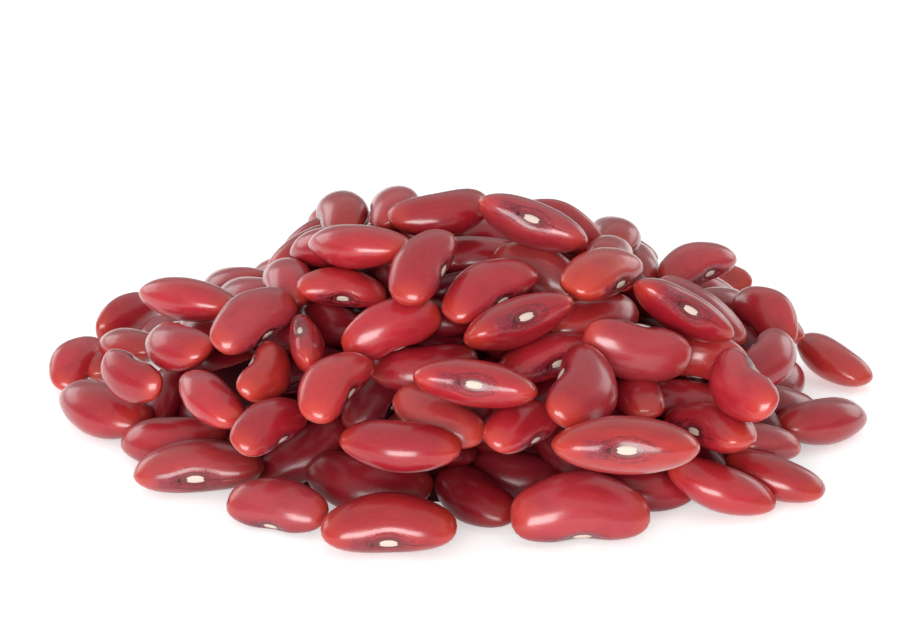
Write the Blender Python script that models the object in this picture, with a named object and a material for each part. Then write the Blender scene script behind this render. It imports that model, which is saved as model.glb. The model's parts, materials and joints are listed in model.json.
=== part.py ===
"""A free heap of dried kidney beans lying on a flat surface, as one solid with an uneven outline.

The beans of the near side are placed one by one, along the sight lines of a view of the heap.
The beans of the far side follow a spiral over the same mound. All are eased apart until they
only touch, and are then fused onto a core that runs just under their middles.
World axes: X to the right of the view, Y away from it, Z up. Origin: middle of the footprint.
"""

import math
from collections import namedtuple

import bmesh
import bpy
import numpy as np
from mathutils import Vector, geometry

MM = 0.001

# The heap in millimetres: the mound that its beans' outer sides follow
HEAP_RADIUS = (51.0, 49.0)
HEAP_TOP = 31.0
EDGE_TOP = 6.0
PROFILE_POWER = 1.6
DEEPEST_MIDDLE = 8.5
FLOOR_GAP = 0.05

# One bean, as shares of its length: kidney-shaped from the side, lens-shaped from its eye
BEAN_WIDTH = 0.505
BEAN_THICKNESS = 0.385
BEAN_BOW = 0.06
BOW_LEVEL = 0.45
WAIST_DEPTH = 0.008
WAIST_SPAN = 0.36
WIDTH_POWER = 0.74
THICKNESS_POWER = 1.12

# The view that the near side's beans were measured in
EYE_DISTANCE = 480.0
EYE_ELEVATION = math.radians(20.0)
PIXELS_PER_MM = 7.7
VIEW_CENTRE = (450.0, 319.0)
ORIGIN_IN_VIEW = (460.0, 417.0)
MOST_TIP = math.radians(72.0)
SIGHT_SPAN = 80.0
SIGHT_STEP = 0.05
LEAST_OUTWARD = 0.25
RIM_START = 0.8

# The far side's beans
SPIRAL_POINTS = 165
GOLDEN_ANGLE = math.radians(137.508)
SPIRAL_REACH = 0.97
CLEAR_OF_SEEN = 6.8
FAR_LENGTHS = (12.4, 15.4)
FAR_LIFTS = (-2.5, 1.0)
FAR_ROLL = 35.0
FAR_FACING = 0.22
FAR_HOLD = 0.5
FAR_AXIS = (0.31, 0.95, 0.05)
SKYLINE_REACH = 45.0
COVER_REACH = 40.0
SKYLINE_MARGIN = 10.0
MOST_LOWERED = 5.0
MOST_SHOWING = 0.6
SEED = 7

# Easing the beans apart
ROUNDS = 320
PAIR_ROUNDS = 10
PAIR_REACH = 0.51
TINY = 1e-9
LAST_ROUNDS = 80
CREEP = 0.03
STEP_SHARE = 0.6
SIGHT_PULL = 0.6
FLOOR_HOLD = 0.5
SKIN_HOLD = 0.01
DEEP_CREEP = 0.015
SKIN_EASE = 0.3
DEEP_EASE = 0.8
FLOOR_ORDER = 0.5
FAR_ORDER = -6.0
ORDER_STEP = 0.9
LEAST_FACING = 0.5
BALL_STATIONS = (-0.8, -0.42, 0.0, 0.42, 0.8)

# The fused solid
NEAR_SIDES = 7
NEAR_RINGS = 4
FAR_SIDES = 6
FAR_RINGS = 3
CORE_DROP = 1.4
CORE_SHRINK = 0.975
CORE_SPAN = 15.5
MERGE_REACH = 1e-4
KEY_DIGITS = 2

SKIN_COLOUR = (0.30, 0.022, 0.028, 1.0)
SKIN_ROUGHNESS = 0.25

# One row for each bean of the near side:
# u, v: its middle in the view, in pixels.
# turn: the slant of its long axis in the view, anticlockwise from the right, in degrees.
# roll: where its eye side points, about that axis: 0 upwards in the view, 90 towards the
#   viewer, 180 downwards; None for a bean that lies flat on the mound, eye side away.
# length: in millimetres.
# tip: how far its turned end leans to the viewer, beyond the mound's own slope, in degrees.
# rise: how far it stands out of the mound, in millimetres; None for a bean on the floor.
Bean = namedtuple("Bean", "u v turn roll length tip rise")

CREST = [
    Bean(342, 217, -68, 180, 13.6, -10, 0.0),
    Bean(393, 209, 90, -20, 13.0, 0, 0.0),
    Bean(385, 241, -14, None, 12.8, 0, -3.0),
    Bean(441, 213, 11, -50, 13.6, -10, 1.0),
    Bean(533, 224, -21, 82, 14.8, 0, 2.0),
    Bean(558, 228, -20, 180, 12.4, 0, -0.5),
    Bean(500, 240, -12, None, 13.0, 0, -2.5),
    Bean(614, 238, -85, 172, 12.5, 0, 0.0),
    Bean(612, 262, 88, None, 12.3, 0, 0.5),
    Bean(601, 274, 25, 136, 14.0, 0, 2.0),
    Bean(638, 264, -78, None, 12.4, 0, -1.0),
    Bean(357, 246, -5, -75, 14.8, 0, 2.0),
    Bean(333, 245, 8, None, 13.0, 0, 0.0),
    Bean(325, 233, 25, None, 12.2, 0, -1.5),
    Bean(306, 248, 32, None, 12.0, 0, -2.0),
    Bean(306, 259, 22, None, 12.0, 0, -3.0),
    Bean(282, 274, 10, None, 12.5, 0, -3.0),
    Bean(422, 267, 62, 155, 13.4, 0, 2.5),
    Bean(342, 288, -6, 126, 11.4, -40, 0.5),
    Bean(288, 284, -62, 176, 12.8, 0, -0.5),
    Bean(481, 257, -2, None, 13.0, 0, -1.5),
    Bean(541, 277, -28, 178, 14.0, 0, -1.0),
]

LEFT = [
    Bean(232, 286, 2, None, 13.5, 0, -2.0),
    Bean(249, 297, -4, None, 13.5, 0, -1.0),
    Bean(187, 299, -10, -76, 14.4, -36, 1.5),
    Bean(252, 320, 35, 160, 13.2, -28, 2.0),
    Bean(128, 318, 27, 205, 12.2, 0, None),
    Bean(77, 363, 57, 165, 11.6, 16, None),
    Bean(103, 409, -21, None, 15.6, -12, None),
    Bean(131, 377, -26, 8, 11.6, -16, 1.0),
    Bean(130, 346, -10, None, 12.2, 0, -3.0),
    Bean(106, 366, 75, None, 11.5, 0, -4.0),
    Bean(177, 346, -18, None, 12.8, -4, 1.0),
    Bean(202, 333, -20, None, 12.5, 0, -4.0),
    Bean(211, 399, -44, -50, 13.0, 0, 1.0),
    Bean(225, 364, -4, None, 12.6, 0, -5.0),
    Bean(165, 400, 78, -60, 12.5, 0, -2.0),
    Bean(265, 374, 58, 10, 11.0, -22, 0.0),
    Bean(307, 346, -76, 98, 11.4, 14, 0.5),
    Bean(330, 322, -30, None, 12.5, 0, -2.0),
]

MIDDLE = [
    Bean(391, 328, 22, 184, 13.0, 0, 1.0),
    Bean(333, 386, 50, 155, 13.4, -22, 2.5),
    Bean(268, 426, 32, 158, 12.4, -38, 1.5),
    Bean(173, 441, 2, None, 14.8, 0, None),
    Bean(200, 467, 3, 114, 16.4, -8, None),
    Bean(278, 506, -8, 152, 13.2, 0, None),
    Bean(389, 525, 1, 130, 16.2, 0, None),
    Bean(303, 457, 32, None, 13.4, 0, -5.0),
    Bean(368, 483, -9, None, 16.0, 0, None),
    Bean(400, 445, -5, -62, 14.8, 0, 1.5),
    Bean(438, 418, -27, None, 12.6, 0, 0.0),
    Bean(379, 395, 46, 150, 12.4, 0, -3.0),
    Bean(424, 368, 5, None, 13.6, 0, -0.5),
    Bean(476, 384, -8, 92, 15.1, 0, 2.5),
    Bean(487, 290, 30, 140, 14.0, 0, 1.5),
    Bean(517, 322, 20, 86, 15.0, 0, 2.5),
    Bean(594, 320, 13, None, 13.8, 0, 0.0),
    Bean(546, 358, 18, 112, 13.8, 0, 0.0),
    Bean(582, 390, 62, 12, 15.6, -14, 2.0),
    Bean(520, 426, 25, 150, 12.6, -25, 0.5),
    Bean(475, 497, -34, None, 13.6, 10, None),
    Bean(519, 474, -12, None, 13.2, 0, None),
    Bean(580, 510, 1, 160, 17.0, 0, None),
    Bean(625, 445, -1, 97, 17.5, 15, 3.0),
]

RIGHT_SIDE = [
    Bean(646, 490, -4, None, 12.2, 0, None),
    Bean(721, 487, -20, None, 14.0, -25, None),
    Bean(774, 477, -20, None, 13.0, -20, None),
    Bean(636, 351, -12, 8, 14.2, 0, 1.5),
    Bean(700, 356, -10, 178, 12.4, 30, 0.8),
    Bean(682, 311, -29, 80, 14.4, -12, 2.0),
    Bean(701, 312, -36, None, 13.6, 0, 0.5),
    Bean(695, 265, 22, 132, 12.8, 32, 1.5),
    Bean(706, 292, -18, None, 12.5, 0, -3.0),
    Bean(727, 306, -8, None, 12.3, 0, -2.0),
    Bean(767, 317, -50, 184, 12.8, 0, 0.5),
    Bean(774, 322, -50, None, 12.0, 0, -1.5),
    Bean(742, 335, -60, None, 12.0, 0, -3.5),
    Bean(766, 360, 40, None, 12.8, 14, 1.0),
    Bean(742, 388, -50, 12, 13.8, 30, 2.5),
    Bean(832, 360, -37, None, 12.8, -18, None),
    Bean(822, 421, 8, None, 14.2, 0, None),
    Bean(714, 452, -10, None, 11.5, 0, -3.5),
    Bean(757, 441, -12, None, 11.6, 0, -1.0),
    Bean(714, 427, -20, 115, 15.0, 60, 1.5),
    Bean(684, 400, -4, None, 12.4, 0, 0.5),
    Bean(641, 393, -88, 0, 11.8, 25, 0.5),
    Bean(781, 379, 40, None, 12.0, 0, -2.5),
    Bean(780, 407, -15, None, 12.6, 0, -3.0),
]

SEEN = CREST + LEFT + MIDDLE + RIGHT_SIDE


# The view

RIGHT = np.array([1.0, 0.0, 0.0])
UP = np.array([0.0, math.sin(EYE_ELEVATION), math.cos(EYE_ELEVATION)])
BACK = np.array([0.0, -math.cos(EYE_ELEVATION), math.sin(EYE_ELEVATION)])
AIM_RIGHT = (VIEW_CENTRE[0] - ORIGIN_IN_VIEW[0]) / PIXELS_PER_MM
AIM_UP = (ORIGIN_IN_VIEW[1] - VIEW_CENTRE[1]) / PIXELS_PER_MM
EYE = AIM_RIGHT * RIGHT + AIM_UP * UP + EYE_DISTANCE * BACK


def unit(vector):
    return vector / np.linalg.norm(vector)


def sight_line(u, v):
    """Direction from the viewer through one pixel of the view."""
    scale = PIXELS_PER_MM * EYE_DISTANCE
    return unit((u - VIEW_CENTRE[0]) / scale * RIGHT - (v - VIEW_CENTRE[1]) / scale * UP - BACK)


def in_view(points):
    """Pixels of the view that points fall on."""
    from_eye = points - EYE
    scale = -PIXELS_PER_MM * EYE_DISTANCE / (from_eye @ BACK)
    u = VIEW_CENTRE[0] + scale * (from_eye @ RIGHT)
    v = VIEW_CENTRE[1] - scale * (from_eye @ UP)
    return u, v


def above_skyline(points):
    """How far points stand above the near side's skyline, in millimetres; negative below it."""
    u, v = in_view(points)
    beside = np.array([bean.u for bean in SEEN]) - u[:, None]
    heights = np.array([bean.v for bean in SEEN])
    bottom = 2.0 * VIEW_CENTRE[1]
    to_left = (beside > -SKYLINE_REACH) & (beside < SKYLINE_MARGIN)
    to_right = (beside < SKYLINE_REACH) & (beside > -SKYLINE_MARGIN)
    top_left = np.where(to_left, heights, bottom).min(1)
    top_right = np.where(to_right, heights, bottom).min(1)
    return (np.maximum(top_left, top_right) + SKYLINE_MARGIN - v) / PIXELS_PER_MM


def covers_seen(middle, near_middles):
    """Whether a far bean would lie before a near one in the view."""
    u, v = in_view(middle[None])
    near_u, near_v = in_view(near_middles)
    beside = np.hypot(near_u - u, near_v - v) < COVER_REACH
    nearer = (near_middles @ BACK) < middle @ BACK
    return bool((beside & nearer).any())


# The mound

def spread(x, y):
    """0 in the middle of the footprint, 1 at its edge."""
    return np.hypot(x / HEAP_RADIUS[0], y / HEAP_RADIUS[1])


def mound(x, y):
    """Height of the mound's skin."""
    return EDGE_TOP + (HEAP_TOP - EDGE_TOP) * (1.0 - spread(x, y) ** PROFILE_POWER)


def slope_normal(x, y):
    """Outward direction of the mound's skin."""
    half = 0.5
    slope_x = mound(x + half, y) - mound(x - half, y)
    slope_y = mound(x, y + half) - mound(x, y - half)
    return unit(np.array([-slope_x, -slope_y, 1.0]))


def mound_normal(x, y):
    """The same, but turned upright towards the mound's foot, where beans lie on the floor."""
    flat = min(1.0, max(0.0, (spread(x, y) - RIM_START) / (1.0 - RIM_START)))
    return unit(slope_normal(x, y) * (1.0 - flat) + np.array([0.0, 0.0, 1.0]) * flat)


def meets_mound(bean, sink):
    """Where a sight line first comes within sink of the mound's skin, or passes nearest to it."""
    reach = np.arange(EYE_DISTANCE - SIGHT_SPAN, EYE_DISTANCE + SIGHT_SPAN, SIGHT_STEP)
    points = EYE + reach[:, None] * sight_line(bean.u, bean.v)
    height = points[:, 2] - mound(points[:, 0], points[:, 1]) + sink
    first = np.argmax(height < 0.0) if (height < 0.0).any() else np.argmin(height)
    return points[first]


# Placing the beans: each has a middle, a length and a frame of long axis, eye side and flat side

def seen_frame(bean, middle):
    """Frame of a near bean: it lies along the mound, with the turn and roll that the view shows."""
    outward = mound_normal(middle[0], middle[1])
    turn = math.radians(bean.turn)
    across = math.cos(turn) * RIGHT + math.sin(turn) * UP
    tip = math.atan2(-(outward @ across), max(outward @ BACK, LEAST_OUTWARD))
    tip += math.radians(bean.tip)
    tip = max(-MOST_TIP, min(MOST_TIP, tip))
    along = math.cos(tip) * across + math.sin(tip) * BACK
    if bean.roll is None:
        eye_side = unit(np.cross(outward, along))
        if eye_side @ BACK > 0.0:
            eye_side = -eye_side
    else:
        roll = math.radians(bean.roll)
        upper = -math.sin(turn) * RIGHT + math.cos(turn) * UP
        eye_side = math.cos(roll) * upper + math.sin(roll) * np.cross(along, upper)
    return np.array([along, eye_side, np.cross(along, eye_side)])


def far_frame(middle, heading, roll):
    """Frame of a far bean: it lies along the mound with the given heading and roll."""
    outward = mound_normal(middle[0], middle[1])
    level = unit(np.cross(outward, FAR_AXIS))
    along = math.cos(heading) * level + math.sin(heading) * np.cross(outward, level)
    eye_side = math.cos(roll) * np.cross(outward, along) + math.sin(roll) * outward
    return np.array([along, eye_side, np.cross(along, eye_side)])


def meets_floor(bean, frame):
    """Where a bean of this frame lies on the floor and is seen in its place."""
    line = sight_line(bean.u, bean.v)
    balls, radii = stand_in_balls()
    drop = (radii - balls @ frame[:, 2]).max() * bean.length
    return EYE + (drop - EYE[2]) / line[2] * line


def place_seen():
    middles, frames = [], []
    for bean in SEEN:
        sink = 0.5 * BEAN_THICKNESS * bean.length - (bean.rise or 0.0)
        middle = meets_mound(bean, sink)
        frame = seen_frame(bean, middle)
        if bean.rise is None:
            middle = meets_floor(bean, frame)
        middles.append(middle)
        frames.append(frame)
    return np.array(middles), np.array(frames), np.array([bean.length for bean in SEEN])


def place_far(near_middles):
    """Beans along a spiral over the whole mound, where no near bean lies."""
    chance = np.random.default_rng(SEED)
    middles, frames, lengths = [], [], []
    for k in range(SPIRAL_POINTS):
        length = chance.uniform(*FAR_LENGTHS)
        heading = chance.uniform(0.0, math.pi)
        roll = math.radians(chance.normal(0.0, FAR_ROLL))
        radius = SPIRAL_REACH * math.sqrt((k + 0.5) / SPIRAL_POINTS)
        x = HEAP_RADIUS[0] * radius * math.cos(k * GOLDEN_ANGLE)
        y = HEAP_RADIUS[1] * radius * math.sin(k * GOLDEN_ANGLE)
        lift = chance.uniform(*FAR_LIFTS)
        middle = np.array([x, y, mound(x, y) - 0.5 * BEAN_THICKNESS * length + lift])
        if slope_normal(x, y) @ BACK > FAR_FACING or covers_seen(middle, near_middles):
            continue
        if above_skyline(middle[None])[0] > MOST_LOWERED:
            continue
        if np.linalg.norm(near_middles - middle, axis=1).min() < CLEAR_OF_SEEN:
            continue
        middles.append(middle)
        frames.append(far_frame(middle, heading, roll))
        lengths.append(length)
    return np.array(middles), np.array(frames), np.array(lengths)


# Easing apart: each bean is stood for by balls, two at each station along it

def bow_line(station):
    """How far a bean's middle line leans to its eye side, as a share of the bow."""
    return station ** 2 * (2.0 - station ** 2) - BOW_LEVEL


def waist(station):
    """How far a bean is drawn in on its eye side, as a share of its length."""
    return WAIST_DEPTH * np.exp(-(station / WAIST_SPAN) ** 2)


def stand_in_balls():
    """Middles and radii of the balls that fill a bean of length 1."""
    middles, radii = [], []
    for station in BALL_STATIONS:
        taper = math.sqrt(1.0 - station * station)
        half_width = 0.5 * BEAN_WIDTH * taper ** WIDTH_POWER
        radius = 0.5 * BEAN_THICKNESS * taper ** THICKNESS_POWER
        bow = BEAN_BOW * bow_line(station)
        for side in (-1.0, 1.0):
            middles.append((0.5 * station, bow + side * (half_width - radius), 0.0))
            radii.append(radius)
    return np.array(middles), np.array(radii)


def close_pairs(middles, lengths):
    apart = np.linalg.norm(middles[:, None] - middles[None], axis=-1)
    near = apart < PAIR_REACH * (lengths[:, None] + lengths[None])
    return np.nonzero(np.triu(near, 1))


def keep_order(way, first, second, order):
    """Turns pushes so that of two beans the one that stands further out goes to the viewer."""
    lead = order[first] - order[second]
    ahead = np.where(np.abs(lead) < ORDER_STEP, 0.0, np.sign(lead))
    short = np.clip(LEAST_FACING - ahead * (way @ BACK), 0.0, None) * ahead
    return way + short[:, None] * BACK


def push_apart(middles, balls, radii, first, second, ease, order):
    """How far each bean moves to leave the ones that it overlaps."""
    gap = (middles[first][:, None] + balls[first])[:, :, None]
    gap = gap - (middles[second][:, None] + balls[second])[:, None]
    distance = np.linalg.norm(gap, axis=-1)
    overlap = radii[first][:, :, None] + radii[second][:, None] - distance
    deepest = overlap.max((1, 2))
    weight = np.clip(overlap, 0.0, None)[..., None]
    way = (gap / np.maximum(distance, TINY)[..., None] * weight).sum((1, 2))
    way /= np.maximum(np.linalg.norm(way, axis=1), TINY)[:, None]
    way = keep_order(way, first, second, order)
    way /= np.maximum(np.linalg.norm(way, axis=1), TINY)[:, None]
    push = way * np.clip(deepest, 0.0, None)[:, None]
    share = (ease[first] / (ease[first] + ease[second]))[:, None]
    move = np.zeros_like(middles)
    touching = np.zeros(len(middles))
    np.add.at(move, first, push * share)
    np.add.at(move, second, -push * (1.0 - share))
    np.add.at(touching, first, deepest > 0.0)
    np.add.at(touching, second, deepest > 0.0)
    return move / np.sqrt(np.maximum(1.0, touching))[:, None]


def ease_apart(middles, frames, lengths):
    """Moves the beans until they only touch.

    A near bean stays on its own sight line. One on the floor also keeps its place along it,
    one in the skin is drawn back to it, and a deep one creeps further in.
    """
    count = len(SEEN)
    home = middles[:count].copy()
    lines = np.array([sight_line(bean.u, bean.v) for bean in SEEN])
    on_floor = np.array([bean.rise is None for bean in SEEN])
    deep = np.array([(bean.rise or 0.0) < 0.0 for bean in SEEN])
    hold = np.where(on_floor, FLOOR_HOLD, np.where(deep, 0.0, SKIN_HOLD))[:, None]
    ease = np.ones(len(middles))
    ease[:count] = np.where(deep, DEEP_EASE, SKIN_EASE)
    order = np.full(len(middles), FAR_ORDER)
    order[:count] = [FLOOR_ORDER if bean.rise is None else bean.rise for bean in SEEN]
    unit_balls, unit_radii = stand_in_balls()
    balls = np.einsum("bi,nij->nbj", unit_balls, frames) * lengths[:, None, None]
    radii = unit_radii[None] * lengths[:, None]
    middles = middles.copy()
    for turn in range(ROUNDS):
        if turn % PAIR_ROUNDS == 0:
            first, second = close_pairs(middles, lengths)
        middles += STEP_SHARE * push_apart(middles, balls, radii, first, second, ease, order)
        strayed = middles[:count] - home
        on_line = home + (strayed * lines).sum(1)[:, None] * lines
        middles[:count] += SIGHT_PULL * (on_line - middles[:count])
        middles[:count] += hold * (home - middles[:count])
        if turn < ROUNDS - LAST_ROUNDS:
            middles[:count] += DEEP_CREEP * lines * deep[:, None]
            middles[:, 2] -= CREEP
        depth = mound(middles[count:, 0], middles[count:, 1]) - middles[count:, 2]
        middles[count:, 2] += FAR_HOLD * np.clip(depth - DEEPEST_MIDDLE, 0.0, None)
        middles[count:, 2] -= FAR_HOLD * np.clip(above_skyline(middles[count:]), 0.0, None)
        lowest = (middles[:, None, 2] + balls[:, :, 2] - radii).min(1)
        middles[:, 2] += np.clip(FLOOR_GAP - lowest, 0.0, None)
    return middles


def lay_beans():
    """Every bean of the heap's outside at rest: middles, frames and lengths."""
    near = place_seen()
    far = place_far(near[0])
    middles, frames, lengths = (np.concatenate(pair) for pair in zip(near, far))
    middles = ease_apart(middles, frames, lengths)
    kept = above_skyline(middles) < MOST_SHOWING
    kept[:len(SEEN)] = True
    return middles[kept], frames[kept], lengths[kept]


# The solids

def bean_point(direction):
    """Point of a bean of length 1 that a point of the unit sphere, its poles along Z, becomes."""
    station = direction.z
    taper = math.sqrt(max(0.0, 1.0 - station * station))
    around = Vector((direction.x, direction.y))
    if around.length > TINY:
        around.normalize()
    half_width = 0.5 * BEAN_WIDTH * taper ** WIDTH_POWER
    half_thickness = 0.5 * BEAN_THICKNESS * taper ** THICKNESS_POWER
    bow = BEAN_BOW * bow_line(station) - waist(station) * max(0.0, around.x)
    return Vector((0.5 * station, bow + half_width * around.x, half_thickness * around.y))


def bean_object(index, middle, frame, length, collection):
    """One bean as a low faceted solid at its place, no lower than the floor."""
    bm = bmesh.new()
    near = index < len(SEEN)
    sides = NEAR_SIDES if near else FAR_SIDES
    rings = NEAR_RINGS if near else FAR_RINGS
    bmesh.ops.create_uvsphere(bm, u_segments=sides, v_segments=rings + 1, radius=1.0)
    for vert in bm.verts:
        shaped = np.array(bean_point(vert.co)) * length
        place = middle + shaped @ frame
        place[2] = max(place[2], FLOOR_GAP)
        vert.co = Vector(place) * MM
    bmesh.ops.recalc_face_normals(bm, faces=bm.faces)
    mesh = bpy.data.meshes.new(f"bean_{index:03d}")
    bm.to_mesh(mesh)
    bm.free()
    bean = bpy.data.objects.new(mesh.name, mesh)
    collection.objects.link(bean)
    return bean


def trim_outline(bm):
    """Opens the sheet's outline where two outer beans stand far apart."""
    trimmed = True
    while trimmed:
        trimmed = False
        for face in list(bm.faces):
            border = [edge for edge in face.edges if len(edge.link_faces) == 1]
            if len(border) != 1 or border[0].calc_length() < CORE_SPAN * MM:
                continue
            inner = [vert for vert in face.verts if vert not in border[0].verts][0]
            if inner.is_boundary:
                continue
            bmesh.ops.delete(bm, geom=[border[0]], context="EDGES")
            trimmed = True
            break


def core_object(middles):
    """The core: a sheet through points just under the beans' middles, closed down to the floor."""
    flat = [Vector((x, y)) for x, y in middles[:, :2]]
    points, _, triangles, *_ = geometry.delaunay_2d_cdt(flat, [], [], 0, MERGE_REACH)
    height = {(round(x, KEY_DIGITS), round(y, KEY_DIGITS)): z for x, y, z in middles}
    bm = bmesh.new()
    for point in points:
        z = height[(round(point.x, KEY_DIGITS), round(point.y, KEY_DIGITS))] - CORE_DROP
        bm.verts.new(Vector((point.x, point.y, z)) * MM)
    bm.verts.ensure_lookup_table()
    for triangle in triangles:
        bm.faces.new([bm.verts[corner] for corner in triangle])
    trim_outline(bm)
    for vert in bm.verts:
        vert.co.x *= CORE_SHRINK
        vert.co.y *= CORE_SHRINK
    foot = bmesh.ops.extrude_face_region(bm, geom=list(bm.faces), use_keep_orig=True)
    for item in foot["geom"]:
        if isinstance(item, bmesh.types.BMVert):
            item.co.z = 0.0
    bmesh.ops.recalc_face_normals(bm, faces=bm.faces)
    mesh = bpy.data.meshes.new("bean_heap")
    bm.to_mesh(mesh)
    bm.free()
    core = bpy.data.objects.new("bean_heap", mesh)
    bpy.context.scene.collection.objects.link(core)
    return core


def fuse(core, collection):
    """One union of the core and every bean, after which the loose beans go."""
    union = core.modifiers.new("fuse_beans", "BOOLEAN")
    union.operation = "UNION"
    union.operand_type = "COLLECTION"
    union.collection = collection
    union.solver = "EXACT"
    bpy.context.view_layer.objects.active = core
    bpy.ops.object.modifier_apply(modifier=union.name)
    for bean in list(collection.objects):
        mesh = bean.data
        bpy.data.objects.remove(bean)
        bpy.data.meshes.remove(mesh)
    bpy.data.collections.remove(collection)


def islands(bm):
    """The mesh's faces, grouped by the closed surface that they belong to."""
    groups = []
    unvisited = set(bm.faces)
    while unvisited:
        stack = [unvisited.pop()]
        group = list(stack)
        while stack:
            for edge in stack.pop().edges:
                for face in edge.link_faces:
                    if face in unvisited:
                        unvisited.remove(face)
                        stack.append(face)
                        group.append(face)
        groups.append(group)
    return groups


def keep_outer_surface(core):
    """Fills sealed hollows and drops scraps: only the surface with the most faces stays."""
    bm = bmesh.new()
    bm.from_mesh(core.data)
    groups = sorted(islands(bm), key=len)
    for group in groups[:-1]:
        bmesh.ops.delete(bm, geom=group, context="FACES")
    bmesh.ops.triangulate(bm, faces=bm.faces)
    bm.to_mesh(core.data)
    bm.free()


def bean_skin():
    material = bpy.data.materials.new("bean_skin")
    material.use_nodes = True
    shader = material.node_tree.nodes["Principled BSDF"]
    shader.inputs["Base Color"].default_value = SKIN_COLOUR
    shader.inputs["Roughness"].default_value = SKIN_ROUGHNESS
    shader.inputs["Metallic"].default_value = 0.0
    return material


def main():
    for thing in list(bpy.data.objects):
        bpy.data.objects.remove(thing)
    middles, frames, lengths = lay_beans()
    collection = bpy.data.collections.new("loose_beans")
    bpy.context.scene.collection.children.link(collection)
    for index in range(len(middles)):
        bean_object(index, middles[index], frames[index], lengths[index], collection)
    core = core_object(middles)
    fuse(core, collection)
    keep_outer_surface(core)
    core.data.materials.clear()
    core.data.materials.append(bean_skin())
    core.data.shade_flat()


main()
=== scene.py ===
import json
import math
from collections import namedtuple

import bpy
import numpy as np
from mathutils import Matrix

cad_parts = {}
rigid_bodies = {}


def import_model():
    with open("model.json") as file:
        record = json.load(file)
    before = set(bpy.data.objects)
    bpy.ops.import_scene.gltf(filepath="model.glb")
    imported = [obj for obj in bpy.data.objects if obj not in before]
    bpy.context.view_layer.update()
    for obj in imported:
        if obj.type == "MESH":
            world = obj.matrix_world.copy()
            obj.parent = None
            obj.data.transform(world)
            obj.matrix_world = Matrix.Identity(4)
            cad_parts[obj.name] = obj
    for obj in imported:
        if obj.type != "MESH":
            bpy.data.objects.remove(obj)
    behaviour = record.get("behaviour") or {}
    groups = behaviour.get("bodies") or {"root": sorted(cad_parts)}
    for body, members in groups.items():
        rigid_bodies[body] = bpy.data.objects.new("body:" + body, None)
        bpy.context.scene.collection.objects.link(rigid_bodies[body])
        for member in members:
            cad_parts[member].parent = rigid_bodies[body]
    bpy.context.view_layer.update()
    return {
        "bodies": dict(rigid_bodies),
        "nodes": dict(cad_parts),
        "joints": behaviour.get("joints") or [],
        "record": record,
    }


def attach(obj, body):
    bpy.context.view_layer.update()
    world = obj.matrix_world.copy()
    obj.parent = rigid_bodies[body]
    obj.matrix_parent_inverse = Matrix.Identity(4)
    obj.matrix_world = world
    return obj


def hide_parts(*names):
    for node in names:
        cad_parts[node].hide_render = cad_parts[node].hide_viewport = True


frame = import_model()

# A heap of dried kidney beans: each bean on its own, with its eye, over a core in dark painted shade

MM = 0.001

# The heap in millimetres: the mound that its beans' outer sides follow
HEAP_RADIUS = (51.0, 49.0)
HEAP_TOP = 31.0
EDGE_TOP = 6.0
PROFILE_POWER = 1.6
DEEPEST_MIDDLE = 8.5
FLOOR_GAP = 0.05

# One bean, as shares of its length: kidney-shaped from the side, lens-shaped from its eye
BEAN_WIDTH = 0.505
BEAN_THICKNESS = 0.385
BEAN_BOW = 0.06
BOW_LEVEL = 0.45
WAIST_DEPTH = 0.008
WAIST_SPAN = 0.36
WIDTH_POWER = 0.74
THICKNESS_POWER = 1.12

# The view that the near side's beans were measured in
EYE_DISTANCE = 480.0
EYE_ELEVATION = math.radians(20.0)
PIXELS_PER_MM = 7.7
VIEW_CENTRE = (450.0, 319.0)
ORIGIN_IN_VIEW = (460.0, 417.0)
MOST_TIP = math.radians(72.0)
SIGHT_SPAN = 80.0
SIGHT_STEP = 0.05
LEAST_OUTWARD = 0.25
RIM_START = 0.8

# The far side's beans
SPIRAL_POINTS = 165
GOLDEN_ANGLE = math.radians(137.508)
SPIRAL_REACH = 0.97
CLEAR_OF_SEEN = 6.8
FAR_LENGTHS = (12.4, 15.4)
FAR_LIFTS = (-2.5, 1.0)
FAR_ROLL = 35.0
FAR_FACING = 0.22
FAR_HOLD = 0.5
FAR_AXIS = (0.31, 0.95, 0.05)
SKYLINE_REACH = 45.0
COVER_REACH = 40.0
SKYLINE_MARGIN = 10.0
MOST_LOWERED = 5.0
MOST_SHOWING = 0.6
SEED = 7

# Easing the beans apart
ROUNDS = 320
PAIR_ROUNDS = 10
PAIR_REACH = 0.51
TINY = 1e-9
LAST_ROUNDS = 80
CREEP = 0.03
STEP_SHARE = 0.6
SIGHT_PULL = 0.6
FLOOR_HOLD = 0.5
SKIN_HOLD = 0.01
DEEP_CREEP = 0.015
SKIN_EASE = 0.3
DEEP_EASE = 0.8
FLOOR_ORDER = 0.5
FAR_ORDER = -6.0
ORDER_STEP = 0.9
LEAST_FACING = 0.5
BALL_STATIONS = (-0.8, -0.42, 0.0, 0.42, 0.8)

# One row for each bean of the near side:
# u, v: its middle in the view, in pixels.
# turn: the slant of its long axis in the view, anticlockwise from the right, in degrees.
# roll: where its eye side points, about that axis: 0 upwards in the view, 90 towards the
#   viewer, 180 downwards; None for a bean that lies flat on the mound, eye side away.
# length: in millimetres.
# tip: how far its turned end leans to the viewer, beyond the mound's own slope, in degrees.
# rise: how far it stands out of the mound, in millimetres; None for a bean on the floor.
# The beans at (106, 366), (742, 335) and (714, 452) weren't seen and only fill gaps.
Bean = namedtuple("Bean", "u v turn roll length tip rise")

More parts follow.
